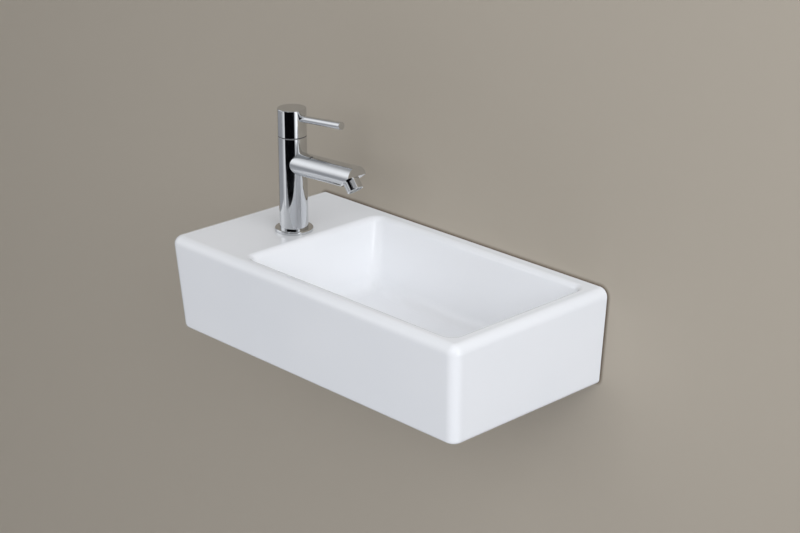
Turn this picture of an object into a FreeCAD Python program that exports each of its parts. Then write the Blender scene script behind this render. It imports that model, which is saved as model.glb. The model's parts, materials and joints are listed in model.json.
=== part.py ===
import FreeCAD, Part
import math
import os

# A wall-hung cloakroom basin with a cold-water tap on the deck at its left end.
# Millimetres: X runs along the wall, Y goes into the wall and Z is up.
# The origin lies on the wall plane, midway between the two wall studs.

# Allowances shared by all pieces
overrun = 2.0
match_gap = 0.01
thread_clearance = 0.1
running_clearance = 0.05
fit_clearance = 0.3
axial_play = 0.2
full_turn = 360.0
hex_sides = 6
upright_share = 0.5

# Basin: outer block
basin_length = 360.0
basin_depth = 183.0
basin_height = 89.0
skirt_draft = 5.2
basin_corner_radius = 9.5
top_edge_radius = 8.0
bottom_edge_radius = 4.5
back_edge_radius = 1.2

# Basin: bowl
deck_length = 92.0
rim_right = 17.5
rim_front = 15.0
rim_back = 12.5
rim_edge_radius = 5.5
bowl_left_angle = 8.0
bowl_right_angle = 8.0
bowl_front_angle = 5.0
bowl_back_angle = 12.0
bowl_rim_corner_radius = 8.0
bowl_foot_corner_radius = 14.0
bowl_floor_radius = 13.0
bowl_floor_height = 20.0
bowl_floor_fall = 4.5

# Basin: hollow underside
bowl_shell = 8.0
skirt_thickness = 9.0
back_wall_thickness = 9.0
deck_thickness = 11.0
recess_height = 24.0
hollow_corner_radius = 5.0
rim_underside_radius = 2.0

# Basin: drain seat
drain_hole_radius = 23.0
drain_seat_depth = 2.0
drain_seat_margin = 1.0
drain_wall = 10.0
drain_boss_margin = 1.5

# Wall fixing
stud_spacing = 240.0
stud_radius = 4.0
stud_margin = 4.0
stud_wall_radius = 5.0
stud_wall_length = 45.0
stud_end_length = 3.0
stud_chamfer = 0.8
bush_wall = 2.4
bush_flange_thickness = 2.0
bush_hole_clearance = 0.2
stud_washer_radius = 8.0
stud_washer_thickness = 1.6
stud_nut_across_flats = 13.0
stud_nut_thickness = 6.5
stud_pocket_clearance = 1.5

# Tap: base on the deck
tap_to_bowl = 25.4
tap_from_wall = 92.6
tap_hole_radius = 12.0
base_ring_radius = 17.5
base_ring_thickness = 3.2
base_ring_edge_radius = 1.2
base_gasket_width = 3.5
base_gasket_thickness = 1.2

# Tap: column and spout
column_radius = 13.1
column_height = 89.0
column_wall = 3.5
column_chamfer = 0.3
inlet_bore_radius = 5.0
chamber_drop = 10.6
spout_radius = 10.6
spout_below_top = 24.4
spout_rise_angle = 3.0
spout_reach = 85.0
spout_bore_radius = 4.5
spout_end_wall = 12.0
nozzle_angle = 37.0
nozzle_cut_rise = 1.7

# Tap: shank and its clamp under the deck
shank_radius = 10.48
shank_bore_radius = 7.0
shank_engagement = 12.0
shank_drop = 50.0
shank_chamfer = 1.0
shank_groove_gap = 2.0
shank_groove_width = 1.5
shank_groove_depth = 0.8
shank_washer_radius = 15.5
shank_rubber_thickness = 2.5
shank_steel_thickness = 1.5
backnut_across_flats = 27.0
backnut_thickness = 7.0
nut_chamfer = 0.8
spanner_clearance = 2.0

# Tap: quarter-turn cartridge
seat_seal_thickness = 2.0
disc_thickness = 3.5
disc_margin = 0.3
disc_window_inner_radius = 2.4
disc_window_rim = 1.4
disc_window_angle = 78.0
disc_window_count = 2
skirt_wall = 1.2
skirt_end_gap = 0.5
outlet_space_height = 9.0
outlet_window_width = 8.0
outlet_window_height = 6.0
outlet_window_lift = 1.0
collar_overlap = 1.3
collar_thickness = 1.8
cartridge_hex_across_flats = 17.0
cartridge_hex_height = 3.7
cartridge_seal_width = 1.2
cartridge_seal_thickness = 1.6
cartridge_seal_drop = 3.0

# Tap: spindle
spindle_radius = 4.0
spindle_shoulder_radius = 6.0
spindle_shoulder_thickness = 2.0
spindle_tongue_length = 11.0
spindle_tongue_width = 3.4
spindle_tongue_depth = 1.8
spindle_seal_width = 1.0
spindle_seal_thickness = 1.5
spindle_seal_shares = (0.35, 0.65)
circlip_groove_depth = 0.7
circlip_width = 2.3
circlip_thickness = 0.8
circlip_opening = 3.0
drive_across = 5.2
drive_share = 0.45

# Tap: handle
groove_height = 0.9
groove_depth = 0.5
cap_height = 24.9
cap_edge_radius = 0.8
cap_bore_gap = 0.4
cap_roof_gap = 0.7
lever_below_top = 8.6
lever_rise_angle = 5.0
lever_reach = 66.0
lever_root_radius = 3.1
lever_tip_radius = 3.6
lever_tip_edge = 0.4
lever_seat_depth = 2.0
lever_seat_gap = 0.05
lever_spigot_radius = 2.4
lever_spigot_length = 7.0
grub_below_top = 15.0
grub_radius = 2.0
grub_inset = 0.5
grub_socket_across_flats = 2.0
grub_socket_depth = 2.5

# Tap: aerator
aerator_offset = 9.6
aerator_radius = 7.4
aerator_length = 9.5
aerator_edge_radius = 0.6
aerator_neck_radius = 5.0
aerator_neck_length = 5.0
aerator_neck_bore_radius = 3.6
aerator_lip = 1.3
aerator_outlet_depth = 7.0
aerator_seal_width = 2.4
aerator_seal_thickness = 1.2
insert_thickness = 4.0
insert_hole_radius = 0.7
insert_ring_step = 2.3
insert_ring_counts = (6, 12)

# Waste
waste_flange_radius = 32.0
waste_flange_thickness = 2.0
waste_flange_slope = 0.8
waste_rim_edge = 1.0
waste_upper_seal_thickness = 1.5
waste_lower_seal_thickness = 3.0
waste_seal_inset = 1.0
waste_skirt_radius = 21.0
waste_skirt_wall = 2.0
waste_skirt_end_gap = 2.0
strainer_depth = 2.0
strainer_thickness = 2.0
strainer_hole_radius = 3.4
strainer_hole_circle_radius = 12.4
strainer_hole_count = 8
waste_screw_radius = 3.0
waste_screw_head_radius = 5.5
waste_screw_head_height = 2.4
waste_screw_slot_width = 1.2
waste_screw_slot_depth = 1.2
waste_screw_end_length = 2.0
tail_flange_radius = 30.0
tail_flange_thickness = 4.0
tail_cup_wall = 3.2
tail_cup_depth = 10.0
tail_cup_floor = 3.0
tail_thread_radius = 20.95
tail_bore_radius = 17.5
tail_length = 35.0
tail_chamfer = 1.0
tail_bar_width = 6.0
tail_bar_height = 5.0
tail_bar_drop = 4.0
tail_boss_radius = 5.5

# Directions
UP = FreeCAD.Vector(0, 0, 1)
DOWN = FreeCAD.Vector(0, 0, -1)
INTO_WALL = FreeCAD.Vector(0, 1, 0)
OFF_WALL = FreeCAD.Vector(0, -1, 0)
TO_LEFT = FreeCAD.Vector(-1, 0, 0)


def vec(x, y, z):
    return FreeCAD.Vector(x, y, z)


def slope(angle):
    """Sideways run of a wall for each unit of its height."""
    return math.tan(math.radians(angle))


def rising(angle):
    """Direction that leads right and climbs at an angle."""
    return vec(math.cos(math.radians(angle)), 0, math.sin(math.radians(angle)))


# Places of the main faces and axes
half_length = basin_length / 2
stud_height = stud_washer_radius + stud_margin
underside = -stud_height
deck = underside + basin_height
widest = deck - top_edge_radius
skirt_lean = skirt_draft / (widest - underside)
bowl_left = deck_length - half_length
bowl_right = half_length - rim_right
bowl_front = rim_front - basin_depth
bowl_back = -rim_back
bowl_floor = underside + bowl_floor_height
drain = vec((bowl_left + bowl_right) / 2, (bowl_front + bowl_back) / 2, bowl_floor - drain_seat_depth)
stud_places = [vec(side * stud_spacing / 2, 0, 0) for side in (-1, 1)]
tap = vec(bowl_left - tap_to_bowl, -tap_from_wall, deck)
column_top = tap + UP * column_height
spout_start = column_top - UP * spout_below_top
spout_direction = rising(spout_rise_angle)
spout_end = spout_start + spout_direction * spout_reach
chamber_floor = spout_start - UP * chamber_drop

# Radii and heights that several pieces share
chamber_radius = column_radius - column_wall
cartridge_radius = chamber_radius - fit_clearance
skirt_bore_radius = cartridge_radius - skirt_wall
fixed_disc_radius = skirt_bore_radius - fit_clearance
moving_disc_radius = fixed_disc_radius - disc_margin
collar_radius = chamber_radius + collar_overlap
fixed_disc_base = chamber_floor + UP * seat_seal_thickness
moving_disc_base = fixed_disc_base + UP * disc_thickness
moving_disc_top = moving_disc_base + UP * disc_thickness
neck_base = moving_disc_top + UP * outlet_space_height
neck_length = column_top.z - neck_base.z
hex_top = column_top + UP * (collar_thickness + cartridge_hex_height)
circlip_base = hex_top + UP * axial_play
cap_roof = circlip_base + UP * (circlip_thickness + cap_roof_gap)
cap_base = column_top + UP * groove_height
cap_top = cap_base + UP * cap_height
drive_length = (cap_top.z - cap_roof.z) * drive_share
lever_direction = rising(lever_rise_angle)
lever_start = cap_top - UP * lever_below_top
aerator_direction = rising(nozzle_angle - full_turn / 4)
nozzle_edge = spout_end + spout_direction.cross(INTO_WALL) * nozzle_cut_rise
aerator_seat = nozzle_edge + INTO_WALL.cross(aerator_direction) * aerator_offset
waste_flange_base = drain + UP * waste_upper_seal_thickness
strainer_top = waste_flange_base - UP * strainer_depth
strainer_base = strainer_top - UP * strainer_thickness
boss_base = drain - UP * drain_wall
tail_top = boss_base - UP * waste_lower_seal_thickness
tail_bar_top = tail_top - UP * (tail_cup_depth + tail_bar_drop)
bush_radius = stud_radius + thread_clearance + bush_wall


def cylinder(radius, length, base, direction=UP):
    return Part.makeCylinder(radius, length, base, direction)


def pin(radius, length, chamfer, base, direction):
    """Rod that is bevelled at its far end."""
    shoulder = base + direction * (length - chamfer)
    tip = Part.makeCone(radius, radius - chamfer, chamfer, shoulder, direction)
    return cylinder(radius, length - chamfer, base, direction).fuse(tip)


def tube(outer_radius, inner_radius, length, base, direction=UP):
    """Ring or pipe that stands on its base point."""
    bore = cylinder(inner_radius, length + 2 * overrun, base - direction * overrun, direction)
    return cylinder(outer_radius, length, base, direction).cut(bore)


def ring_spokes(count):
    """Level directions spread evenly over a full turn."""
    angles = [math.radians(full_turn / count * index) for index in range(count)]
    return [vec(math.cos(angle), math.sin(angle), 0) for angle in angles]


def corner_radius(across_flats):
    return across_flats / 2 / math.cos(math.pi / hex_sides)


def hexagon(across_flats, length, base, direction=UP):
    """Six-sided bar along a direction, with one corner on its local X axis."""
    turn = FreeCAD.Rotation(UP, direction)
    spokes = [turn.multVec(spoke) for spoke in ring_spokes(hex_sides)]
    points = [base + spoke * corner_radius(across_flats) for spoke in spokes]
    face = Part.Face(Part.makePolygon(points + points[:1]))
    return face.extrude(direction * length)


def nut(across_flats, bore_radius, thickness, base, direction=UP):
    """Six-sided nut with both rims bevelled."""
    barrel = cylinder(corner_radius(across_flats), thickness, base, direction)
    barrel = barrel.makeChamfer(nut_chamfer, [edge for edge in barrel.Edges if edge.Closed])
    body = hexagon(across_flats, thickness, base, direction).common(barrel)
    bore = cylinder(bore_radius, thickness + 2 * overrun, base - direction * overrun, direction)
    return body.cut(bore)


def turned(profile, base):
    """Solid turned about the upright axis through base; the profile lists radius and height."""
    points = [base + vec(radius, 0, height) for radius, height in profile]
    face = Part.Face(Part.makePolygon(points + points[:1]))
    return face.revolve(base, UP, full_turn)


def bar(length, width, height, base):
    """Upright block centred on its base point."""
    return Part.makeBox(length, width, height, base - vec(length / 2, width / 2, 0))


def leaning_plan(plan, slopes, drop, z):
    """Corners at a height of four leaning walls that close in downwards, a drop below their plan."""
    left, right, front, back = plan
    left_slope, right_slope, front_slope, back_slope = slopes
    x_low = left + left_slope * drop
    x_high = right - right_slope * drop
    y_low = front + front_slope * drop
    y_high = back - back_slope * drop
    return [vec(x_low, y_low, z), vec(x_high, y_low, z), vec(x_high, y_high, z), vec(x_low, y_high, z)]


def drafted_block(plan, slopes, z_plan, z_low, z_high):
    """Block with four leaning walls, whose plan holds at z_plan."""
    low = leaning_plan(plan, slopes, z_plan - z_low, z_low)
    high = leaning_plan(plan, slopes, z_plan - z_high, z_high)
    outlines = [low[::-1], high]
    for index in range(len(low)):
        outlines.append([low[index - 1], low[index], high[index], high[index - 1]])
    faces = [Part.Face(Part.makePolygon(outline + outline[:1])) for outline in outlines]
    return Part.makeSolid(Part.makeShell(faces))


def rounded_outline(corners, radius):
    """Closed outline through square corners, each of them rounded."""
    arcs = []
    for index, corner in enumerate(corners):
        before = (corners[index - 1] - corner).normalize() * radius
        after = (corners[index + 1 - len(corners)] - corner).normalize() * radius
        centre = corner + before + after
        middle = centre + (corner - centre).normalize() * radius
        arcs.append((corner + before, middle, corner + after))
    edges = []
    for index, (first, middle, last) in enumerate(arcs):
        edges.append(Part.Arc(first, middle, last).toShape())
        edges.append(Part.makeLine(last, arcs[index + 1 - len(arcs)][0]))
    return Part.Wire(edges)


def upright_edges(shape):
    least = shape.BoundBox.ZLength * upright_share
    return [edge for edge in shape.Edges if edge.BoundBox.ZLength > least]


def level_edges(shape, z):
    boxes = [(edge, edge.BoundBox) for edge in shape.Edges]
    return [edge for edge, box in boxes if abs(box.ZMin - z) < match_gap and abs(box.ZMax - z) < match_gap]


def inner_edges(edges, plan):
    """Those of the edges that lie inside a plan."""
    left, right, front, back = plan
    kept = []
    for edge in edges:
        box = edge.BoundBox
        inside_x = box.XMin > left - match_gap and box.XMax < right + match_gap
        inside_y = box.YMin > front - match_gap and box.YMax < back + match_gap
        if inside_x and inside_y:
            kept.append(edge)
    return kept


def bowl_form(growth):
    """Space inside the bowl, or with some growth the space that its shell fills."""
    plan = (bowl_left - growth, bowl_right + growth, bowl_front - growth, bowl_back + growth)
    slopes = [slope(a) for a in (bowl_left_angle, bowl_right_angle, bowl_front_angle, bowl_back_angle)]
    floor = bowl_floor - growth
    levels = [(floor - overrun, bowl_foot_corner_radius), (deck + overrun, bowl_rim_corner_radius)]
    outlines = []
    for z, radius in levels:
        outlines.append(rounded_outline(leaning_plan(plan, slopes, deck - z, z), radius + growth))
    block = Part.makeLoft(outlines, True, True)
    reach = (bowl_right - bowl_left) / 2
    dish_radius = (reach ** 2 + bowl_floor_fall ** 2) / (2 * bowl_floor_fall) + growth
    dish = Part.makeSphere(dish_radius, vec(drain.x, drain.y, floor + dish_radius), INTO_WALL)
    block = block.common(dish)
    middle = block.BoundBox.Center.z
    floor_edges = [edge for edge in block.Edges if edge.BoundBox.ZMax < middle]
    floor_radius = min(bowl_floor_radius, bowl_foot_corner_radius) + growth
    return block.makeFillet(floor_radius, floor_edges)


def outer_block():
    """Leaning block with its rounded edges, cut flat at the wall."""
    behind_wall = basin_corner_radius + top_edge_radius
    plan = (-half_length, half_length, -basin_depth, behind_wall)
    block = drafted_block(plan, (skirt_lean, skirt_lean, skirt_lean, 0), widest, underside, deck)
    block = block.makeFillet(basin_corner_radius, upright_edges(block))
    block = block.makeFillet(top_edge_radius, level_edges(block, deck))
    block = block.makeFillet(bottom_edge_radius, level_edges(block, underside))
    spare = Part.makeBox(basin_length, behind_wall + overrun, basin_height + 2 * overrun)
    spare.translate(vec(-half_length, 0, underside - overrun))
    block = block.cut(spare)
    wall_edges = [edge for edge in block.Edges if edge.BoundBox.YMin > -match_gap]
    return block.makeFillet(back_edge_radius, wall_edges)


def underside_hollow():
    """Space under the deck and under the bowl, open below."""
    inset = skirt_thickness
    foot = underside - overrun
    low_plan = (inset - half_length, half_length - inset, inset - basin_depth, -back_wall_thickness)
    low_slopes = (skirt_lean, skirt_lean, skirt_lean, 0)
    low = drafted_block(low_plan, low_slopes, widest, foot, underside + recess_height)
    low = low.makeFillet(hollow_corner_radius, upright_edges(low))
    low = low.cut(bowl_form(bowl_shell))
    tall_plan = (inset - half_length, bowl_left - bowl_shell, inset - basin_depth, -back_wall_thickness)
    roof = deck - deck_thickness
    tall = drafted_block(tall_plan, (skirt_lean, 0, skirt_lean, 0), widest, foot, roof)
    tall = tall.makeFillet(hollow_corner_radius, upright_edges(tall))
    tall = tall.makeFillet(hollow_corner_radius, level_edges(tall, roof))
    nut_radius = max(corner_radius(backnut_across_flats), shank_washer_radius) + spanner_clearance
    nut_space = cylinder(nut_radius, roof - underside, vec(tap.x, tap.y, underside))
    hollow = tall.fuse([low, nut_space])
    stack = bush_flange_thickness + stud_washer_thickness + stud_nut_thickness + stud_end_length
    pocket_depth = stack + stud_pocket_clearance
    for place in stud_places:
        pocket_base = place + OFF_WALL * back_wall_thickness
        pocket_radius = stud_washer_radius + stud_pocket_clearance
        hollow = hollow.fuse(cylinder(pocket_radius, pocket_depth, pocket_base, OFF_WALL))
    return hollow


def make_basin():
    basin = outer_block().cut(bowl_form(0))
    bowl_plan = (bowl_left, bowl_right, bowl_front, bowl_back)
    basin = basin.makeFillet(rim_edge_radius, inner_edges(level_edges(basin, deck), bowl_plan))
    basin = basin.cut(underside_hollow())
    inset = skirt_draft + bottom_edge_radius
    foot_plan = (inset - half_length, half_length - inset, inset - basin_depth, -bottom_edge_radius)
    basin = basin.makeFillet(rim_underside_radius, inner_edges(level_edges(basin, underside), foot_plan))
    boss_radius = tail_flange_radius + drain_boss_margin
    basin = basin.fuse(cylinder(boss_radius, drain_wall, boss_base))
    seat_radius = waste_flange_radius + drain_seat_margin
    basin = basin.cut(cylinder(seat_radius, drain_seat_depth + bowl_floor_fall, drain))
    basin = basin.cut(cylinder(drain_hole_radius, drain_wall + 2 * overrun, boss_base - UP * overrun))
    basin = basin.cut(cylinder(tap_hole_radius, deck_thickness + 2 * overrun, tap + UP * overrun, DOWN))
    stud_hole_radius = bush_radius + bush_hole_clearance
    stud_hole_length = back_wall_thickness + 2 * overrun
    for place in stud_places:
        hole_base = place + INTO_WALL * overrun
        basin = basin.cut(cylinder(stud_hole_radius, stud_hole_length, hole_base, OFF_WALL))
    return basin.removeSplitter()


def make_wall_fixing():
    """Stud, bush, washer and nut at each fixing hole, one group for each kind."""
    bush_end = back_wall_thickness + bush_flange_thickness
    washer_end = bush_end + stud_washer_thickness
    nut_end = washer_end + stud_nut_thickness
    inner_length = nut_end + stud_end_length
    bore_radius = stud_radius + thread_clearance
    groups = {"wall_studs": [], "stud_bushes": [], "stud_washers": [], "stud_nuts": []}
    for place in stud_places:
        stud = pin(stud_radius, inner_length, stud_chamfer, place, OFF_WALL)
        stud = stud.fuse(pin(stud_wall_radius, stud_wall_length, stud_chamfer, place, INTO_WALL))
        bush = cylinder(bush_radius, bush_end, place, OFF_WALL)
        flange_base = place + OFF_WALL * back_wall_thickness
        bush = bush.fuse(cylinder(stud_washer_radius, bush_flange_thickness, flange_base, OFF_WALL))
        bore_base = place + INTO_WALL * overrun
        bush = bush.cut(cylinder(bore_radius, bush_end + 2 * overrun, bore_base, OFF_WALL))
        washer_base = place + OFF_WALL * bush_end
        washer = tube(stud_washer_radius, bore_radius, stud_washer_thickness, washer_base, OFF_WALL)
        nut_base = place + OFF_WALL * washer_end
        stud_nut = nut(stud_nut_across_flats, bore_radius, stud_nut_thickness, nut_base, OFF_WALL)
        groups["wall_studs"].append(stud)
        groups["stud_bushes"].append(bush.removeSplitter())
        groups["stud_washers"].append(washer)
        groups["stud_nuts"].append(stud_nut)
    return {name: Part.makeCompound(solids) for name, solids in groups.items()}


def make_tap_base():
    """Ring on the deck, with the gasket let into its underside."""
    bore_radius = shank_radius + fit_clearance
    ring = tube(base_ring_radius, bore_radius, base_ring_thickness, tap)
    rims = level_edges(ring, tap.z + base_ring_thickness)
    outer_rim = [edge for edge in rims if edge.BoundBox.XLength > base_ring_radius + bore_radius]
    ring = ring.makeFillet(base_ring_edge_radius, outer_rim)
    gasket_radius = base_ring_radius - base_ring_edge_radius
    gasket = tube(gasket_radius, gasket_radius - base_gasket_width, base_gasket_thickness, tap)
    return {"tap_base_ring": ring.cut(gasket), "tap_base_gasket": gasket}


def make_tap_body():
    """Column and spout with their waterways, and the slanted face for the aerator."""
    base = tap + UP * base_ring_thickness
    column = cylinder(column_radius, column_height - base_ring_thickness, base)
    column = column.makeChamfer(column_chamfer, level_edges(column, column_top.z))
    body = column.fuse(cylinder(spout_radius, spout_reach, spout_start, spout_direction))
    body = body.cut(cylinder(2 * spout_radius, spout_reach, nozzle_edge, aerator_direction))
    body = body.cut(cylinder(chamber_radius, column_height, chamber_floor))
    body = body.cut(cylinder(inlet_bore_radius, column_height, chamber_floor + UP * overrun, DOWN))
    socket_depth = shank_engagement + fit_clearance
    body = body.cut(cylinder(shank_radius + thread_clearance, socket_depth + overrun, base - UP * overrun))
    bore_length = spout_reach - spout_end_wall
    body = body.cut(cylinder(spout_bore_radius, bore_length, spout_start, spout_direction))
    port_depth = aerator_neck_length + fit_clearance
    port_radius = aerator_neck_radius + thread_clearance
    body = body.cut(cylinder(port_radius, port_depth, aerator_seat, aerator_direction * -1))
    return body.removeSplitter()


def make_shank():
    """Threaded tail of the tap, with the washers and the nut that clamp it under the deck."""
    top = tap + UP * (base_ring_thickness + shank_engagement)
    length = base_ring_thickness + shank_engagement + shank_drop
    shank = pin(shank_radius, length, shank_chamfer, top, DOWN)
    shank = shank.cut(cylinder(shank_bore_radius, length + 2 * overrun, top + UP * overrun, DOWN))
    bore_radius = shank_radius + thread_clearance
    rubber_base = tap - UP * deck_thickness
    steel_base = rubber_base - UP * shank_rubber_thickness
    nut_base = steel_base - UP * shank_steel_thickness
    groove_base = nut_base - UP * (backnut_thickness + shank_groove_gap)
    groove_radius = shank_radius - shank_groove_depth
    shank = shank.cut(tube(shank_radius + overrun, groove_radius, shank_groove_width, groove_base, DOWN))
    rubber = tube(shank_washer_radius, bore_radius, shank_rubber_thickness, rubber_base, DOWN)
    steel = tube(shank_washer_radius, bore_radius, shank_steel_thickness, steel_base, DOWN)
    return {
        "tap_shank": shank,
        "shank_rubber_washer": rubber,
        "shank_steel_washer": steel,
        "shank_backnut": nut(backnut_across_flats, bore_radius, backnut_thickness, nut_base, DOWN),
    }


def window(base, height, first_angle):
    """Sector that is cut through a ceramic disc."""
    outer = cylinder(fixed_disc_radius - disc_window_rim, height, base)
    middle = cylinder(disc_window_inner_radius, height, base)
    reach = fixed_disc_radius * 2
    sides = [math.radians(first_angle + side * disc_window_angle / 2) for side in (-1, 1)]
    points = [base] + [base + vec(math.cos(side), math.sin(side), 0) * reach for side in sides]
    wedge = Part.Face(Part.makePolygon(points + points[:1])).extrude(UP * height)
    return outer.cut(middle).common(wedge)


def disc(radius, base, first_angle):
    """Ceramic disc with a ring of windows, the first of them at an angle to the spout."""
    body = cylinder(radius, disc_thickness, base)
    for index in range(disc_window_count):
        angle = first_angle + full_turn / disc_window_count * index
        body = body.cut(window(base - UP * overrun, disc_thickness + 2 * overrun, angle))
    return body


def make_cartridge():
    """Headwork that stays in the column: housing, seals and the fixed disc."""
    skirt_base = chamber_floor + UP * skirt_end_gap
    housing = cylinder(cartridge_radius, column_top.z - skirt_base.z, skirt_base)
    housing = housing.fuse(cylinder(collar_radius, collar_thickness, column_top))
    hex_base = column_top + UP * collar_thickness
    housing = housing.fuse(hexagon(cartridge_hex_across_flats, cartridge_hex_height, hex_base))
    space_height = neck_base.z - skirt_base.z
    housing = housing.cut(cylinder(skirt_bore_radius, space_height + overrun, skirt_base - UP * overrun))
    bore_radius = spindle_radius + running_clearance
    housing = housing.cut(cylinder(bore_radius, column_height, neck_base - UP * overrun))
    window_base = moving_disc_top + UP * outlet_window_lift
    housing = housing.cut(bar(2 * chamber_radius, outlet_window_width, outlet_window_height, window_base))
    seal_base = column_top - UP * (cartridge_seal_drop + cartridge_seal_thickness)
    seal_radius = chamber_radius - running_clearance
    seal = tube(seal_radius, seal_radius - cartridge_seal_width, cartridge_seal_thickness, seal_base)
    seat = tube(fixed_disc_radius, inlet_bore_radius + fit_clearance, seat_seal_thickness, chamber_floor)
    return {
        "cartridge_housing": housing.cut(seal).removeSplitter(),
        "cartridge_seal_ring": seal,
        "disc_seat_seal": seat,
        "fixed_ceramic_disc": disc(fixed_disc_radius, fixed_disc_base, full_turn / 4),
    }


def make_spindle():
    """Turning inside of the cartridge: spindle, its rings and the moving disc."""
    round_top = cap_roof - UP * axial_play
    spindle = cylinder(spindle_radius, round_top.z - moving_disc_top.z, moving_disc_top)
    drive = bar(drive_across, drive_across, drive_length, round_top)
    shoulder_base = neck_base - UP * (axial_play + spindle_shoulder_thickness)
    shoulder = cylinder(spindle_shoulder_radius, spindle_shoulder_thickness, shoulder_base)
    tongue_base = moving_disc_top - UP * spindle_tongue_depth
    tongue = bar(spindle_tongue_length, spindle_tongue_width, spindle_tongue_depth + overrun, tongue_base)
    spindle = spindle.fuse([drive, shoulder, tongue])
    slot_width = spindle_tongue_width + 2 * thread_clearance
    slot_base = tongue_base - UP * thread_clearance
    slot = bar(2 * fixed_disc_radius, slot_width, disc_thickness, slot_base)
    ring_inner_radius = spindle_radius - spindle_seal_width
    ring_bases = [neck_base + UP * (neck_length * share) for share in spindle_seal_shares]
    rings = [tube(spindle_radius, ring_inner_radius, spindle_seal_thickness, base) for base in ring_bases]
    groove_radius = spindle_radius - circlip_groove_depth
    groove = tube(spindle_radius + overrun, groove_radius, circlip_thickness, circlip_base)
    spindle = spindle.cut(rings + [groove])
    circlip = tube(groove_radius + circlip_width, groove_radius, circlip_thickness, circlip_base)
    opening_base = circlip_base + vec(-collar_radius, 0, 0)
    circlip = circlip.cut(bar(2 * collar_radius, circlip_opening, circlip_thickness, opening_base))
    return {
        "valve_spindle": spindle.removeSplitter(),
        "spindle_seal_rings": Part.makeCompound(rings),
        "spindle_circlip": circlip,
        "moving_ceramic_disc": disc(moving_disc_radius, moving_disc_base, 0).cut(slot),
    }


def make_handle():
    """Cap, lever, grub screw and the ring that the cap glides on."""
    cap = cylinder(column_radius, cap_height, cap_base)
    cap = cap.makeFillet(cap_edge_radius, level_edges(cap, cap_top.z))
    bore_depth = cap_roof.z - cap_base.z
    cap = cap.cut(cylinder(collar_radius + cap_bore_gap, bore_depth + overrun, cap_base - UP * overrun))
    socket_across = drive_across + 2 * thread_clearance
    cap = cap.cut(bar(socket_across, socket_across, drive_length + overrun, cap_roof - UP * overrun))
    spigot_start = lever_start + lever_direction * (column_radius - lever_spigot_length)
    spigot_hole_radius = lever_spigot_radius + thread_clearance
    spigot_hole_end = spigot_start - lever_direction * axial_play
    cap = cap.cut(cylinder(spigot_hole_radius, lever_reach, spigot_hole_end, lever_direction))
    grub_length = column_radius - grub_inset - drive_across / 2 - thread_clearance
    grub_tip = cap_top - UP * grub_below_top + TO_LEFT * (drive_across / 2 + thread_clearance)
    cap = cap.cut(cylinder(grub_radius + thread_clearance, column_radius, grub_tip, TO_LEFT))
    grub = cylinder(grub_radius, grub_length, grub_tip, TO_LEFT)
    grub_face = grub_tip + TO_LEFT * grub_length
    grub = grub.cut(hexagon(grub_socket_across_flats, grub_socket_depth, grub_face, TO_LEFT * -1))
    ring_height = groove_height - running_clearance
    glide = tube(column_radius - groove_depth, collar_radius + fit_clearance, ring_height, column_top)
    return {
        "handle_cap": cap.removeSplitter(),
        "handle_lever": make_lever(spigot_start),
        "handle_grub_screw": grub,
        "handle_glide_ring": glide,
    }


def make_lever(spigot_start):
    """Rod that widens to its tip, seated on the cap's round side, with a spigot in the cap."""
    root_reach = column_radius - lever_seat_depth
    root = lever_start + lever_direction * root_reach
    rod_length = lever_reach - root_reach
    rod = Part.makeCone(lever_root_radius, lever_tip_radius, rod_length, root, lever_direction)
    middle = rod.BoundBox.Center.x
    tip_rim = [edge for edge in rod.Edges if edge.Closed and edge.BoundBox.XMin > middle]
    rod = rod.makeFillet(lever_tip_edge, tip_rim)
    seat = cylinder(column_radius + lever_seat_gap, cap_height, cap_base)
    spigot_length = lever_spigot_length + lever_seat_depth
    spigot = cylinder(lever_spigot_radius, spigot_length, spigot_start, lever_direction)
    return rod.cut(seat).fuse(spigot).removeSplitter()


def make_aerator():
    """Tilted housing under the spout's end, with its seal and flow straightener."""
    outlet = aerator_seat + aerator_direction * aerator_length
    inward = aerator_direction * -1
    housing = cylinder(aerator_radius, aerator_length, aerator_seat, aerator_direction)
    middle = housing.BoundBox.Center.z
    lower_rim = [edge for edge in housing.Edges if edge.Closed and edge.BoundBox.Center.z < middle]
    housing = housing.makeFillet(aerator_edge_radius, lower_rim)
    housing = housing.fuse(cylinder(aerator_neck_radius, aerator_neck_length, aerator_seat, inward))
    bore_radius = aerator_radius - aerator_lip
    housing = housing.cut(cylinder(bore_radius, aerator_outlet_depth, outlet, inward))
    bore_length = aerator_length + aerator_neck_length + overrun
    housing = housing.cut(cylinder(aerator_neck_bore_radius, bore_length, outlet, inward))
    insert_radius = bore_radius - thread_clearance
    seal_top = outlet + inward * aerator_outlet_depth
    seal_bore = insert_radius - aerator_seal_width
    seal = tube(insert_radius, seal_bore, aerator_seal_thickness, seal_top, aerator_direction)
    insert_top = seal_top + aerator_direction * aerator_seal_thickness
    insert = cylinder(insert_radius, insert_thickness, insert_top, aerator_direction)
    hole_length = insert_thickness + 2 * overrun
    turn = FreeCAD.Rotation(DOWN, aerator_direction)
    for ring, count in enumerate(insert_ring_counts, start=1):
        for spoke in ring_spokes(count):
            hole_base = insert_top + turn.multVec(spoke) * (insert_ring_step * ring) + inward * overrun
            insert = insert.cut(cylinder(insert_hole_radius, hole_length, hole_base, aerator_direction))
    return {"aerator_housing": housing.removeSplitter(), "aerator_seal": seal, "aerator_insert": insert}


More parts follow.
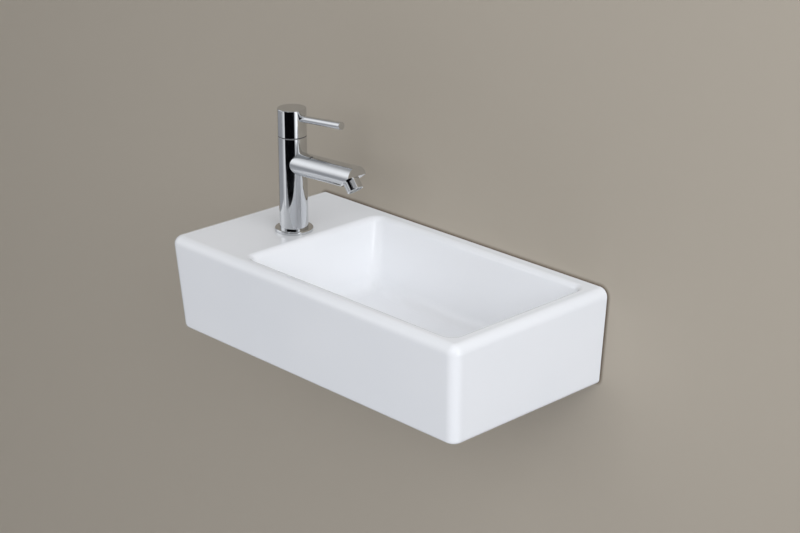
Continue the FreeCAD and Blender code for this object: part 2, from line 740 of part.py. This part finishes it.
def make_waste():
    """Strainer in the bowl, screwed to the threaded tail below, with a seal on each side of the floor."""
    skirt_inner_radius = waste_skirt_radius - waste_skirt_wall
    skirt_end = tail_top.z - tail_cup_depth + waste_skirt_end_gap - waste_flange_base.z
    inner_rim = waste_flange_thickness - waste_flange_slope
    flange = turned([
        (0, -strainer_depth),
        (skirt_inner_radius, -strainer_depth),
        (waste_skirt_radius, inner_rim),
        (waste_flange_radius - waste_rim_edge, waste_flange_thickness),
        (waste_flange_radius, waste_flange_thickness - waste_rim_edge),
        (waste_flange_radius, 0),
        (waste_skirt_radius, 0),
        (waste_skirt_radius, skirt_end),
        (skirt_inner_radius, skirt_end),
        (skirt_inner_radius, -strainer_depth - strainer_thickness),
        (0, -strainer_depth - strainer_thickness),
    ], waste_flange_base)
    hole_base = strainer_base - UP * overrun
    hole_length = strainer_thickness + 2 * overrun
    flange = flange.cut(cylinder(waste_screw_radius + thread_clearance, hole_length, hole_base))
    for spoke in ring_spokes(strainer_hole_count):
        place = hole_base + spoke * strainer_hole_circle_radius
        flange = flange.cut(cylinder(strainer_hole_radius, hole_length, place))
    screw_end = tail_bar_top.z - tail_bar_height - waste_screw_end_length
    screw_length = strainer_top.z - screw_end
    screw = cylinder(waste_screw_radius, screw_length, strainer_top, DOWN)
    screw = screw.fuse(cylinder(waste_screw_head_radius, waste_screw_head_height, strainer_top))
    slot_base = strainer_top + UP * (waste_screw_head_height - waste_screw_slot_depth)
    slot_length = 2 * waste_screw_head_radius
    screw = screw.cut(bar(slot_length, waste_screw_slot_width, waste_screw_head_height, slot_base))
    upper_seal_radius = waste_flange_radius - waste_seal_inset
    upper_seal = tube(upper_seal_radius, drain_hole_radius, waste_upper_seal_thickness, drain)
    lower_seal_radius = tail_flange_radius - waste_seal_inset
    lower_seal = tube(lower_seal_radius, drain_hole_radius, waste_lower_seal_thickness, tail_top)
    return {
        "waste_flange": flange,
        "waste_screw": screw,
        "waste_tail": make_waste_tail(),
        "waste_upper_seal": upper_seal,
        "waste_lower_seal": lower_seal,
    }


def make_waste_tail():
    """Outlet under the floor: clamping flange, cup for the strainer's skirt, crossbar and thread."""
    cup_bore_radius = waste_skirt_radius + fit_clearance
    cup_radius = cup_bore_radius + tail_cup_wall
    cup_end = -tail_cup_depth - tail_cup_floor
    tail = turned([
        (cup_bore_radius, 0),
        (tail_flange_radius, 0),
        (tail_flange_radius, -tail_flange_thickness),
        (cup_radius, -tail_flange_thickness),
        (cup_radius, cup_end),
        (tail_thread_radius, cup_end),
        (tail_thread_radius, tail_chamfer - tail_length),
        (tail_thread_radius - tail_chamfer, -tail_length),
        (tail_bore_radius, -tail_length),
        (tail_bore_radius, -tail_cup_depth),
        (cup_bore_radius, -tail_cup_depth),
    ], tail_top)
    bar_base = tail_bar_top - UP * tail_bar_height
    wall_middle = (tail_bore_radius + tail_thread_radius) / 2
    crossbar = bar(2 * wall_middle, tail_bar_width, tail_bar_height, bar_base)
    boss = cylinder(tail_boss_radius, tail_bar_height, bar_base)
    screw_hole_radius = waste_screw_radius + thread_clearance
    screw_hole = cylinder(screw_hole_radius, tail_bar_height + 2 * overrun, bar_base - UP * overrun)
    return tail.fuse([crossbar, boss]).cut(screw_hole).removeSplitter()


nodes = {"basin": make_basin(), "tap_body": make_tap_body()}
for group in (make_wall_fixing, make_tap_base, make_shank, make_cartridge):
    nodes.update(group())
for group in (make_spindle, make_handle, make_aerator, make_waste):
    nodes.update(group())

os.makedirs("parts", exist_ok=True)
for name, shape in nodes.items():
    shape.exportStep(os.path.join("parts", name + ".step"))
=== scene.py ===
import json
import math

import bmesh
import bpy
from mathutils import Matrix, Vector


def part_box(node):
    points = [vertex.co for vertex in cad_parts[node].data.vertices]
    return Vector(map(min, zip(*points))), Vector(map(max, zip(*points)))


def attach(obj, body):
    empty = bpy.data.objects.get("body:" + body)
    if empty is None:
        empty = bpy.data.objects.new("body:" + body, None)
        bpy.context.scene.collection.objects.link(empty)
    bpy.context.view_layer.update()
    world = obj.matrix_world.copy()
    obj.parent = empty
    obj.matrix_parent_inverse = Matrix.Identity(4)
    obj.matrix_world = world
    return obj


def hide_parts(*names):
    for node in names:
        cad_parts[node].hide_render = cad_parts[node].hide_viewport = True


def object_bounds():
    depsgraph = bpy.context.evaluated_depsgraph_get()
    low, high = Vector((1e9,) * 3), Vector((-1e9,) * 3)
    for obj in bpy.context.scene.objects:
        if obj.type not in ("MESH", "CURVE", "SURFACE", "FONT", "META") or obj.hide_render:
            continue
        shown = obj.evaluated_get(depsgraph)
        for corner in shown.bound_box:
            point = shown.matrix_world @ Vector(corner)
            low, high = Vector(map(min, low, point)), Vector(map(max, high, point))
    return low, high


# A white wall-hung hand basin with a polished tap, on a plain pale wall.
# Metres, in the frame of the solids: X runs along the wall, Y goes into it and Z is up.
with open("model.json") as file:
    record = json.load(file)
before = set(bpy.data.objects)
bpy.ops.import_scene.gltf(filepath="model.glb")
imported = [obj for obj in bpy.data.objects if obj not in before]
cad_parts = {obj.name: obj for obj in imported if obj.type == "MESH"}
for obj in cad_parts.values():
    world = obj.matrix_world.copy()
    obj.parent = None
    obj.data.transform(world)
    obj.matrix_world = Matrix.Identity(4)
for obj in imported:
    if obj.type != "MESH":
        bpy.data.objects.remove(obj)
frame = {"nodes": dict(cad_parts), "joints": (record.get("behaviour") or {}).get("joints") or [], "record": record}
cad_low, cad_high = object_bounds()
record = frame["record"]

# Camera
camera_azimuth = 46.04
camera_elevation = 20.90
camera_distance = 1.75
camera_target = Vector((-0.0443, -0.0257, 0.0421))
camera_lens = 86.2

# Stage: within the contact shade's reach of the object, the wall's colour is darkened as painted shade
# from ambient occlusion, down to the shade colour where no more than the shade's openness is left of its view.
backdrop_colour = (0.47, 0.42, 0.35)
contact_shade_colour = (0.19, 0.155, 0.12)
contact_shade_reach = 0.0035
contact_shade_openness = 0.5
matt_constants = {"Roughness": 1.0, "Specular IOR Level": 0.0}
floor_colour = (0.74, 0.75, 0.78)
wall_gap = 0.0005
wall_half_width = 4.0
wall_height = 2.6
floor_drop = 0.90
floor_half_size = 20.0

# Lights: lamps light the object, and reflections show soft panels with a dark flag between them instead.
# Fades are the shares of a panel over which its glow dies away: left, right, lower and upper edge.
panel_distance = 1.9
panels = {
    "left_strip": {"azimuth": -28.0, "width": 1.10, "low": -1.0, "high": 0.2, "strength": 0.95,
                   "fades": (0.03, 0.95, 0.05, 0.30)},
    "left_soft": {"azimuth": -54.0, "width": 1.90, "low": -0.46, "high": 2.10, "strength": 1.15,
                  "fades": (0.25, 0.25, 0.42, 0.53)},
    "right_strip": {"azimuth": 82.0, "width": 1.10, "low": -1.0, "high": 0.3, "strength": 1.5,
                    "fades": (0.06, 0.50, 0.05, 0.30)},
    "front_box": {"azimuth": 16.0, "width": 0.42, "low": 1.00, "high": 1.45, "strength": 4.5,
                  "fades": (0.20, 0.20, 0.20, 0.20)},
    "side_box": {"azimuth": 36.0, "width": 0.20, "low": 1.05, "high": 1.35, "strength": 2.5,
                 "fades": (0.20, 0.20, 0.20, 0.20)},
    "right_box": {"azimuth": 76.0, "width": 0.32, "low": 0.05, "high": 0.62, "strength": 4.5,
                  "fades": (0.20, 0.20, 0.20, 0.20)},
    "right_soft": {"azimuth": 95.0, "width": 1.30, "low": 0.35, "high": 2.3, "strength": 1.5,
                   "fades": (0.30, 0.30, 0.30, 0.30)},
}
lamps = {
    "right": {"azimuth": 80.0, "distance": 1.75, "height": 1.02, "width": 1.5, "tall": 1.45, "power": 17.5},
    "front": {"azimuth": 31.0, "distance": 1.75, "height": 0.92, "width": 2.2, "tall": 0.9, "power": 13.1},
    "below": {"azimuth": 0.0, "distance": 0.90, "height": -0.72, "width": 2.0, "tall": 0.7, "power": 0.5},
    "behind": {"azimuth": -140.0, "distance": 1.40, "height": 1.10, "width": 1.4, "tall": 1.0, "power": 4.0},
    "back": {"azimuth": 200.0, "distance": 1.75, "height": 0.10, "width": 2.2, "tall": 0.6, "power": 12.0},
}
light_colour = (0.955, 0.972, 1.0)
world_strength = 0.412
flag_colour = (0.004, 0.004, 0.005)
flag_distance = 2.05
flag_azimuths = (-11.5, 66.5)
flag_ends_low = -0.50
flag_middle_low = -0.62
flag_top = 1.3
flag_steps = 24

# Noise in the finishes: scales are in spots per metre, and the range holds most of its values
noise_range = (0.3, 0.7)
plain_detail = 2.0
fine_detail = 4.0

# White glaze: it ends between two depths along Y, where bare ceramic takes over
glaze_colours = ((0.87, 0.88, 0.90), (0.90, 0.905, 0.92))
glaze_constants = {"IOR": 1.5, "Coat Weight": 0.3, "Coat Roughness": 0.03}
glaze_roughness = (0.035, 0.065)
glaze_cloud_scale = 9.0
glaze_ripple_scale = 26.0
glaze_ripple_strength = 0.05
glaze_ripple_height = 0.004
glaze_end = (-0.0006, -0.0003)
glaze_end_wander = 0.0002
glaze_end_scale = 70.0
bare_colours = ((0.66, 0.62, 0.56), (0.74, 0.71, 0.66))
bare_grain_scale = 900.0
bare_added_roughness = 0.65

# Polished metal
smear_scale = 55.0
wave_scale = 120.0
wave_strength = 0.02
wave_height = 0.001

# Turned metal
line_scales = (120.0, 120.0, 4500.0)
line_detail = 3.0
line_strength = 0.04
line_height = 0.0001
tarnish_scale = 140.0
tarnish_detail = 5.0

# Plastic, rubber and lapped ceramic
moulded_ior = 1.48
flow_scale = 60.0
grain_height = 0.0003

# Threads: full radius, pitch and depth of each.
# The flat crest and the start of the root are in half pitches from the crest.
threads = {
    "stud": {"radius": 0.0040, "pitch": 0.00125, "depth": 0.00075, "crest": 0.125, "root": 0.75},
    "wall_screw": {"radius": 0.0050, "pitch": 0.0040, "depth": 0.0013, "crest": 0.12, "root": 0.50},
    "shank": {"radius": 0.01048, "pitch": 0.001814, "depth": 0.00110, "crest": 0.17, "root": 0.83},
    "tail": {"radius": 0.02095, "pitch": 0.002309, "depth": 0.00140, "crest": 0.17, "root": 0.83},
}
thread_rows = 12
ring_segments = 72
soft_edge = 0.0004
weld_distance = 1e-8
sharp_angle = 32.0

# Threaded pieces that stand for the plain solids
stud_chamfer = 0.0008
shank_bore_radius = 0.0070
shank_chamfer = 0.0010
shank_groove_depth = 0.0008
shank_groove_top = 0.0530
shank_groove_bottom = 0.0515
tail_flange_thickness = 0.0040
tail_cup_bore_radius = 0.0213
tail_cup_radius = 0.0245
tail_cup_depth = 0.0100
tail_cup_floor = 0.0030
tail_bore_radius = 0.0175
tail_chamfer = 0.0010
tail_bar_half_length = 0.0192
tail_bar_half_width = 0.0030
tail_bar_top = 0.0140
tail_bar_height = 0.0050
tail_boss_radius = 0.0055
tail_hole_radius = 0.0031


def around(azimuth, distance, height):
    """Offset to a point round a centre: azimuth 0 lies in front of it and 90 to its right."""
    angle = math.radians(azimuth)
    return Vector((math.sin(angle) * distance, -math.cos(angle) * distance, height))


def mesh_object(name, vertices, faces):
    mesh = bpy.data.meshes.new(name)
    mesh.from_pydata(vertices, [], faces)
    mesh.update()
    made = bpy.data.objects.new(name, mesh)
    bpy.context.scene.collection.objects.link(made)
    return made


def upright(name, across, low, high, place, facing):
    """Upright rectangle that faces a point."""
    side = across / 2
    corners = [(-side, low, 0), (side, low, 0), (side, high, 0), (-side, high, 0)]
    made = mesh_object(name, corners, [(0, 1, 2, 3)])
    level = Vector((facing.x - place.x, facing.y - place.y, 0))
    made.matrix_world = Matrix.Translation(place) @ level.to_track_quat("Z", "Y").to_matrix().to_4x4()
    return made


def node(tree, kind, inputs, **settings):
    """New shader node. An input takes a value, or a link where it is given a socket."""
    made = tree.nodes.new("ShaderNode" + kind)
    for name, value in settings.items():
        setattr(made, name, value)
    for name, value in inputs.items():
        if isinstance(value, bpy.types.NodeSocket):
            tree.links.new(value, made.inputs[name])
        else:
            made.inputs[name].default_value = value
    return made.outputs


def mixed(tree, share, first, second):
    """Colour between two colours, each of them a value or a socket."""
    made = tree.nodes.new("ShaderNodeMix")
    made.data_type = "RGBA"
    sockets = {socket.identifier: socket for socket in (*made.inputs, *made.outputs)}
    tree.links.new(share, sockets["Factor_Float"])
    for name, colour in (("A_Color", first), ("B_Color", second)):
        if isinstance(colour, bpy.types.NodeSocket):
            tree.links.new(colour, sockets[name])
        else:
            sockets[name].default_value = (*colour, 1.0)
    return sockets["Result_Color"]


def object_place(tree):
    return node(tree, "TexCoord", {})["Object"]


def noise(tree, place, scale, detail=plain_detail):
    return node(tree, "TexNoise", {"Vector": place, "Scale": scale, "Detail": detail})[0]


def spread(tree, value, low=0.0, high=1.0, source=noise_range):
    """Value stretched from its source range over a new range."""
    inputs = {"Value": value, "From Min": source[0], "From Max": source[1], "To Min": low, "To Max": high}
    return node(tree, "MapRange", inputs)[0]


def bump(tree, height, strength, distance):
    return node(tree, "Bump", {"Height": height, "Strength": strength, "Distance": distance})[0]


def finish_material(name, constants):
    """Material with one shader, the shader's constant values set, and its tree."""
    made = bpy.data.materials.new(name)
    made.use_nodes = True
    shader = made.node_tree.nodes["Principled BSDF"]
    for socket, value in constants.items():
        shader.inputs[socket].default_value = value
    return made, made.node_tree, shader


def link(tree, shader, colour, rough, normal):
    for socket, value in (("Base Color", colour), ("Roughness", rough), ("Normal", normal)):
        tree.links.new(value, shader.inputs[socket])


def glaze():
    """White glaze over ceramic, with bare ceramic on the face at the wall."""
    made, tree, shader = finish_material("white_glaze", glaze_constants)
    place = object_place(tree)
    cloud = noise(tree, place, glaze_cloud_scale)
    grain = noise(tree, place, bare_grain_scale, fine_detail)
    white = mixed(tree, spread(tree, cloud), *glaze_colours)
    bare = mixed(tree, spread(tree, grain), *bare_colours)
    depth = node(tree, "SeparateXYZ", {"Vector": place})["Y"]
    wander = spread(tree, noise(tree, place, glaze_end_scale), -glaze_end_wander, glaze_end_wander)
    edge = node(tree, "Math", {0: depth, 1: wander})[0]
    unglazed = spread(tree, edge, source=glaze_end)
    ripple = noise(tree, place, glaze_ripple_scale)
    rough = spread(tree, cloud, *glaze_roughness)
    added = spread(tree, unglazed, high=bare_added_roughness, source=(0.0, 1.0))
    rough = node(tree, "Math", {0: rough, 1: added})[0]
    smooth = bump(tree, ripple, glaze_ripple_strength, glaze_ripple_height)
    link(tree, shader, mixed(tree, unglazed, white, bare), rough, smooth)
    return made


def polished(name, colours, roughness):
    """Mirror-bright metal with faint smears."""
    made, tree, shader = finish_material(name, {"Metallic": 1.0})
    place = object_place(tree)
    smear = noise(tree, place, smear_scale, fine_detail)
    shade = mixed(tree, spread(tree, smear), *colours)
    wave = bump(tree, noise(tree, place, wave_scale), wave_strength, wave_height)
    link(tree, shader, shade, spread(tree, smear, *roughness), wave)
    return made


def machined(name, colours, roughness):
    """Turned metal with fine lines and a little tarnish."""
    made, tree, shader = finish_material(name, {"Metallic": 1.0})
    place = object_place(tree)
    stretched = node(tree, "Mapping", {"Vector": place, "Scale": line_scales})[0]
    lines = noise(tree, stretched, 1.0, line_detail)
    tarnish = noise(tree, place, tarnish_scale, tarnish_detail)
    shade = mixed(tree, spread(tree, tarnish), *colours)
    ridges = bump(tree, lines, line_strength, line_height)
    link(tree, shader, shade, spread(tree, lines, *roughness), ridges)
    return made


def moulded(name, colours, roughness, grain_scale, grain_strength):
    """Plastic, rubber or fired body with a fine grain."""
    made, tree, shader = finish_material(name, {"IOR": moulded_ior})
    place = object_place(tree)
    grain = noise(tree, place, grain_scale, fine_detail)
    flow = noise(tree, place, flow_scale)
    shade = mixed(tree, spread(tree, flow), *colours)
    bumps = bump(tree, grain, grain_strength, grain_height)
    link(tree, shader, shade, spread(tree, grain, *roughness), bumps)
    return made


finishes = {
    "glaze": glaze(),
    "chrome": polished("polished_chrome", colours=((0.66, 0.67, 0.685), (0.70, 0.71, 0.72)),
                       roughness=(0.03, 0.06)),
    "brass": machined("machined_brass", colours=((0.74, 0.56, 0.27), (0.66, 0.47, 0.22)),
                      roughness=(0.20, 0.34)),
    "steel": machined("plated_steel", colours=((0.60, 0.61, 0.63), (0.52, 0.53, 0.54)),
                      roughness=(0.24, 0.38)),
    "rubber": moulded("black_rubber", colours=((0.022, 0.022, 0.024), (0.032, 0.032, 0.033)),
                      roughness=(0.55, 0.75), grain_scale=1600.0, grain_strength=0.25),
    "plastic": moulded("white_plastic", colours=((0.76, 0.76, 0.74), (0.80, 0.80, 0.78)),
                       roughness=(0.35, 0.5), grain_scale=1200.0, grain_strength=0.08),
    "glide_plastic": moulded("dark_plastic", colours=((0.045, 0.045, 0.05), (0.06, 0.06, 0.065)),
                             roughness=(0.35, 0.5), grain_scale=1200.0, grain_strength=0.1),
    "disc_ceramic": moulded("lapped_ceramic", colours=((0.86, 0.84, 0.79), (0.90, 0.88, 0.84)),
                            roughness=(0.10, 0.2), grain_scale=2400.0, grain_strength=0.05),
}


def paint(piece, slot):
    piece.data.materials.clear()
    piece.data.materials.append(finishes[slot])


slots = {subpart["node"]: subpart["material_slot"] for subpart in record["subparts"]}
for name, slot in slots.items():
    paint(frame["nodes"][name], slot)


def on_circle(radius, angle, height):
    return Vector((radius * math.cos(angle), radius * math.sin(angle), height))


def thread_cut(thread, height, share_of_turn):
    """Depth that a thread has at a height and a share of a turn round its axis."""
    off_crest = abs(2 * ((height / thread["pitch"] - share_of_turn) % 1.0) - 1)
    share = (off_crest - thread["crest"]) / (thread["root"] - thread["crest"])
    return thread["depth"] * min(1.0, max(0.0, share))


def turned(outline):
    """Rings of a body turned about Z, from points of a radius, a height and the thread that follows."""
    rings = []
    following = outline[1:] + outline[:1]
    for (radius, height, name), (next_radius, next_height, _) in zip(outline, following):
        thread = threads.get(name)
        count = 1
        if thread:
            count = max(1, round(abs(next_height - height) / thread["pitch"] * thread_rows))
        for step in range(count):
            row_radius = radius + (next_radius - radius) * step / count
            row_height = height + (next_height - height) * step / count
            ring = []
            for segment in range(ring_segments):
                turn = segment / ring_segments
                reach = row_radius
                if thread:
                    reach = min(reach, thread["radius"] - thread_cut(thread, row_height, turn))
                ring.append(on_circle(reach, math.tau * turn, row_height))
            rings.append(ring)
    return rings


def crossbar(top):
    """Rings round a flat bar with a round boss and a hole in its middle."""
    angles = {math.tau * segment / ring_segments for segment in range(ring_segments)}
    corner = math.atan2(tail_bar_half_width, tail_bar_half_length)
    root = math.asin(tail_bar_half_width / tail_boss_radius)
    for side in (corner, root):
        angles.update(angle % math.tau for angle in (side, -side, math.pi - side, math.pi + side))
    angles = sorted(angles)
    bottom = top - tail_bar_height
    rings = []
    levels = ((soft_edge, top), (0, top - soft_edge), (0, bottom + soft_edge), (soft_edge, bottom))
    for inset, height in levels:
        ring = []
        for angle in angles:
            across = abs(math.sin(angle))
            along = abs(math.cos(angle))
            if across * tail_bar_half_length <= along * tail_bar_half_width:
                bar_reach = tail_bar_half_length / along
            else:
                bar_reach = tail_bar_half_width / across
            ring.append(on_circle(max(tail_boss_radius, bar_reach) - inset, angle, height))
        rings.append(ring)
    for height in (bottom, top):
        rings.append([on_circle(tail_hole_radius, angle, height) for angle in angles])
    return rings


def ring_object(name, sheets):
    """Mesh of sheets, each of them a matrix and the rings that it places.

    A sheet that starts on its axis ends there too, and any other sheet closes on itself.
    """
    built = bmesh.new()
    for matrix, rings in sheets:
        rows = [[built.verts.new(matrix @ point) for point in ring] for ring in rings]
        on_axis = (rings[0][0] - rings[0][1]).length == 0
        for row, next_row in zip(rows, rows[1:] if on_axis else rows[1:] + rows[:1]):
            for index in range(len(row)):
                after = (index + 1) % len(row)
                built.faces.new((row[index], row[after], next_row[after], next_row[index]))
    bmesh.ops.remove_doubles(built, verts=built.verts, dist=weld_distance)
    bmesh.ops.recalc_face_normals(built, faces=built.faces)
    made = mesh_object(name, [], [])
    built.to_mesh(made.data)
    built.free()
    made.data.polygons.foreach_set("use_smooth", [True] * len(made.data.polygons))
    made.data.set_sharp_from_angle(angle=math.radians(sharp_angle))
    return made


def stand_for(piece, name):
    """Shows a piece in place of a solid, with that solid's finish."""
    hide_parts(name)
    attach(piece, "fixed")
    paint(piece, slots[name])


def build_studs():
    low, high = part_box("wall_studs")
    inner = threads["stud"]["radius"]
    outer = threads["wall_screw"]["radius"]
    rings = turned([
        (0, low.y, None),
        (inner - stud_chamfer, low.y, "stud"),
        (inner, low.y + stud_chamfer, "stud"),
        (inner, 0, None),
        (outer, 0, "wall_screw"),
        (outer, high.y - stud_chamfer, "wall_screw"),
        (outer - stud_chamfer, high.y, None),
        (0, high.y, None),
    ])
    lying = Matrix.Rotation(math.radians(-90), 4, "X")
    middle = (low.z + high.z) / 2
    places = [Matrix.Translation((x, 0, middle)) @ lying for x in (low.x + outer, high.x - outer)]
    stand_for(ring_object("threaded_studs", [(place, rings) for place in places]), "wall_studs")


def build_shank():
    low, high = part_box("tap_shank")
    radius = threads["shank"]["radius"]
    waist = radius - shank_groove_depth
    rings = turned([
        (radius, high.z, "shank"),
        (radius, shank_groove_top, None),
        (waist, shank_groove_top, None),
        (waist, shank_groove_bottom, None),
        (radius, shank_groove_bottom, "shank"),
        (radius, low.z + shank_chamfer, "shank"),
        (radius - shank_chamfer, low.z, None),
        (shank_bore_radius, low.z, None),
        (shank_bore_radius, high.z, None),
    ])
    place = Matrix.Translation(((low.x + high.x) / 2, (low.y + high.y) / 2, 0))
    stand_for(ring_object("threaded_shank", [(place, rings)]), "tap_shank")


def build_tail():
    low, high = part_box("waste_tail")
    top = high.z
    flange = (high.x - low.x) / 2
    radius = threads["tail"]["radius"]
    flange_base = top - tail_flange_thickness
    cup_end = top - tail_cup_depth - tail_cup_floor
    rings = turned([
        (tail_cup_bore_radius, top, None),
        (flange - soft_edge, top, None),
        (flange, top - soft_edge, None),
        (flange, flange_base + soft_edge, None),
        (flange - soft_edge, flange_base, None),
        (tail_cup_radius, flange_base, None),
        (tail_cup_radius, cup_end + soft_edge, None),
        (tail_cup_radius - soft_edge, cup_end, None),
        (radius, cup_end, "tail"),
        (radius, low.z + tail_chamfer, "tail"),
        (radius - tail_chamfer, low.z, None),
        (tail_bore_radius, low.z, None),
        (tail_bore_radius, top - tail_cup_depth, None),
        (tail_cup_bore_radius, top - tail_cup_depth, None),
    ])
    place = Matrix.Translation(((low.x + high.x) / 2, (low.y + high.y) / 2, 0))
    sheets = [(place, rings), (place, crossbar(top - tail_bar_top))]
    stand_for(ring_object("threaded_tail", sheets), "waste_tail")


def show(tree, surface, share):
    """Gives a material a surface that a share of the rays meet, and leaves it clear to the rest."""
    clear = node(tree, "BsdfTransparent", {})[0]
    both = node(tree, "MixShader", {0: share, 1: clear, 2: surface})[0]
    tree.links.new(both, tree.nodes["Material Output"].inputs["Surface"])


def show_front(tree, surface, share):
    """Gives a material a surface that a share of the rays meet, where they come from its front."""
    behind = node(tree, "NewGeometry", {})["Backfacing"]
    front = node(tree, "Math", {0: share, 1: behind}, operation="SUBTRACT", use_clamp=True)[0]
    show(tree, surface, front)


def backdrop_material(name):
    """Matt wall whose colour is darkened near the object as painted shade from ambient occlusion. It shows from
    its front and blocks no light.
    """
    made, tree, shader = finish_material(name, matt_constants)
    # Painted contact shade: ambient occlusion darkens the wall's colour next to the object.
    openness = node(tree, "AmbientOcclusion", {"Distance": contact_shade_reach})["AO"]
    lit = spread(tree, openness, source=(contact_shade_openness, 1.0))
    tree.links.new(mixed(tree, lit, contact_shade_colour, backdrop_colour), shader.inputs["Base Color"])
    rays = node(tree, "LightPath", {})
    seen = rays["Is Camera Ray"]
    for kind in ("Is Glossy Ray", "Is Transmission Ray"):
        seen = node(tree, "Math", {0: seen, 1: rays[kind]}, operation="MAXIMUM")[0]
    show_front(tree, shader.outputs[0], seen)
    return made


def plain_material(name, colour):
    """Matt surface that shows from its front only."""
    made, tree, shader = finish_material(name, {"Base Color": (*colour, 1.0), **matt_constants})
    show_front(tree, shader.outputs[0], 1.0)
    return made


def light_material(name, strength, fades):
    """Glow that fades to clear towards the panel's edges."""
    made = bpy.data.materials.new(name)
    made.use_nodes = True
    tree = made.node_tree
    across = node(tree, "SeparateXYZ", {"Vector": node(tree, "TexCoord", {})["Generated"]})
    glow = 1.0
    edges = (("X", 0.0, 1.0), ("X", 1.0, -1.0), ("Y", 0.0, 1.0), ("Y", 1.0, -1.0))
    for (axis, edge, inward), fade in zip(edges, fades):
        ends = {"From Min": edge, "From Max": edge + inward * fade, "To Min": 0.0, "To Max": 1.0}
        rise = node(tree, "MapRange", {"Value": across[axis], **ends}, interpolation_type="SMOOTHSTEP")[0]
        glow = node(tree, "Math", {0: rise, 1: glow}, operation="MULTIPLY")[0]
    shine = node(tree, "Emission", {"Color": (*light_colour, 1.0), "Strength": strength})[0]
    show(tree, shine, glow)
    return made


def build_stage():
    back = wall_gap
    low = cad_low.z - floor_drop
    width = wall_half_width
    high = low + wall_height
    corners = [(-width, back, low), (width, back, low), (width, back, high), (-width, back, high)]
    wall = mesh_object("stage_wall", corners, [(0, 1, 2, 3)])
    wall.data.materials.append(backdrop_material("stage_wall"))
    size = floor_half_size
    corners = [(-size, -size, low), (size, -size, low), (size, size, low), (-size, size, low)]
    floor = mesh_object("stage_floor", corners, [(0, 1, 2, 3)])
    floor.data.materials.append(plain_material("stage_floor", floor_colour))


def only_in_reflections(piece):
    """Hides a piece from the camera and from diffuse rays, and lets it cast no shadow."""
    piece.visible_camera = False
    piece.visible_diffuse = False
    piece.visible_shadow = False


def build_panels(centre):
    for name, facts in panels.items():
        place = centre + around(facts["azimuth"], panel_distance, 0)
        light = upright(f"stage_{name}", facts["width"], facts["low"], facts["high"], place, centre)
        light.data.materials.append(light_material(f"stage_{name}", facts["strength"], facts["fades"]))
        only_in_reflections(light)


def build_lamps(centre):
    """Lamps that aim at the frame's origin and that neither the camera nor reflections show."""
    for name, facts in lamps.items():
        data = bpy.data.lights.new(name, "AREA")
        data.shape = "RECTANGLE"
        data.size = facts["width"]
        data.size_y = facts["tall"]
        data.energy = facts["power"]
        data.color = light_colour
        lamp = bpy.data.objects.new(name, data)
        lamp.location = centre + around(facts["azimuth"], facts["distance"], facts["height"])
        lamp.rotation_euler = (-lamp.location).to_track_quat("-Z", "Y").to_euler()
        lamp.visible_camera = False
        lamp.visible_glossy = False
        bpy.context.scene.collection.objects.link(lamp)


def build_flag(centre):
    """Dark curved card that only reflections show, with a lower edge that dips in its middle."""
    corners = []
    faces = []
    first, last = flag_azimuths
    for step in range(flag_steps + 1):
        share = step / flag_steps
        rise = (2 * share - 1) ** 2
        place = centre + around(first + (last - first) * share, flag_distance, 0)
        corners.append((place.x, place.y, flag_middle_low + (flag_ends_low - flag_middle_low) * rise))
        corners.append((place.x, place.y, flag_top))
        if step:
            count = len(corners)
            faces.append((count - 3, count - 1, count - 2, count - 4))
    flag = mesh_object("stage_flag", corners, faces)
    flag.data.materials.append(plain_material("stage_flag", flag_colour))
    only_in_reflections(flag)


def build_world():
    world = bpy.data.worlds.new("soft_room")
    world.use_nodes = True
    background = world.node_tree.nodes["Background"]
    background.inputs["Color"].default_value = (*light_colour, 1.0)
    background.inputs["Strength"].default_value = world_strength
    bpy.context.scene.world = world


def build_camera():
    camera = bpy.data.objects.new("camera", bpy.data.cameras.new("camera"))
    bpy.context.scene.collection.objects.link(camera)
    level = math.cos(math.radians(camera_elevation)) * camera_distance
    rise = math.sin(math.radians(camera_elevation)) * camera_distance
    camera.location = camera_target + around(camera_azimuth, level, rise)
    camera.rotation_euler = (camera_target - camera.location).to_track_quat("-Z", "Y").to_euler()
    camera.data.lens = camera_lens
    bpy.context.scene.camera = camera


tap_axis = Vector(frame["joints"][0]["pos_m"])
tap_foot = Vector((tap_axis.x, tap_axis.y, 0))
build_studs()
build_shank()
build_tail()
build_stage()
build_panels(tap_foot)
build_lamps(tap_foot)
build_flag(tap_foot)
build_world()
build_camera()
bpy.context.scene.view_settings.view_transform = "Standard"
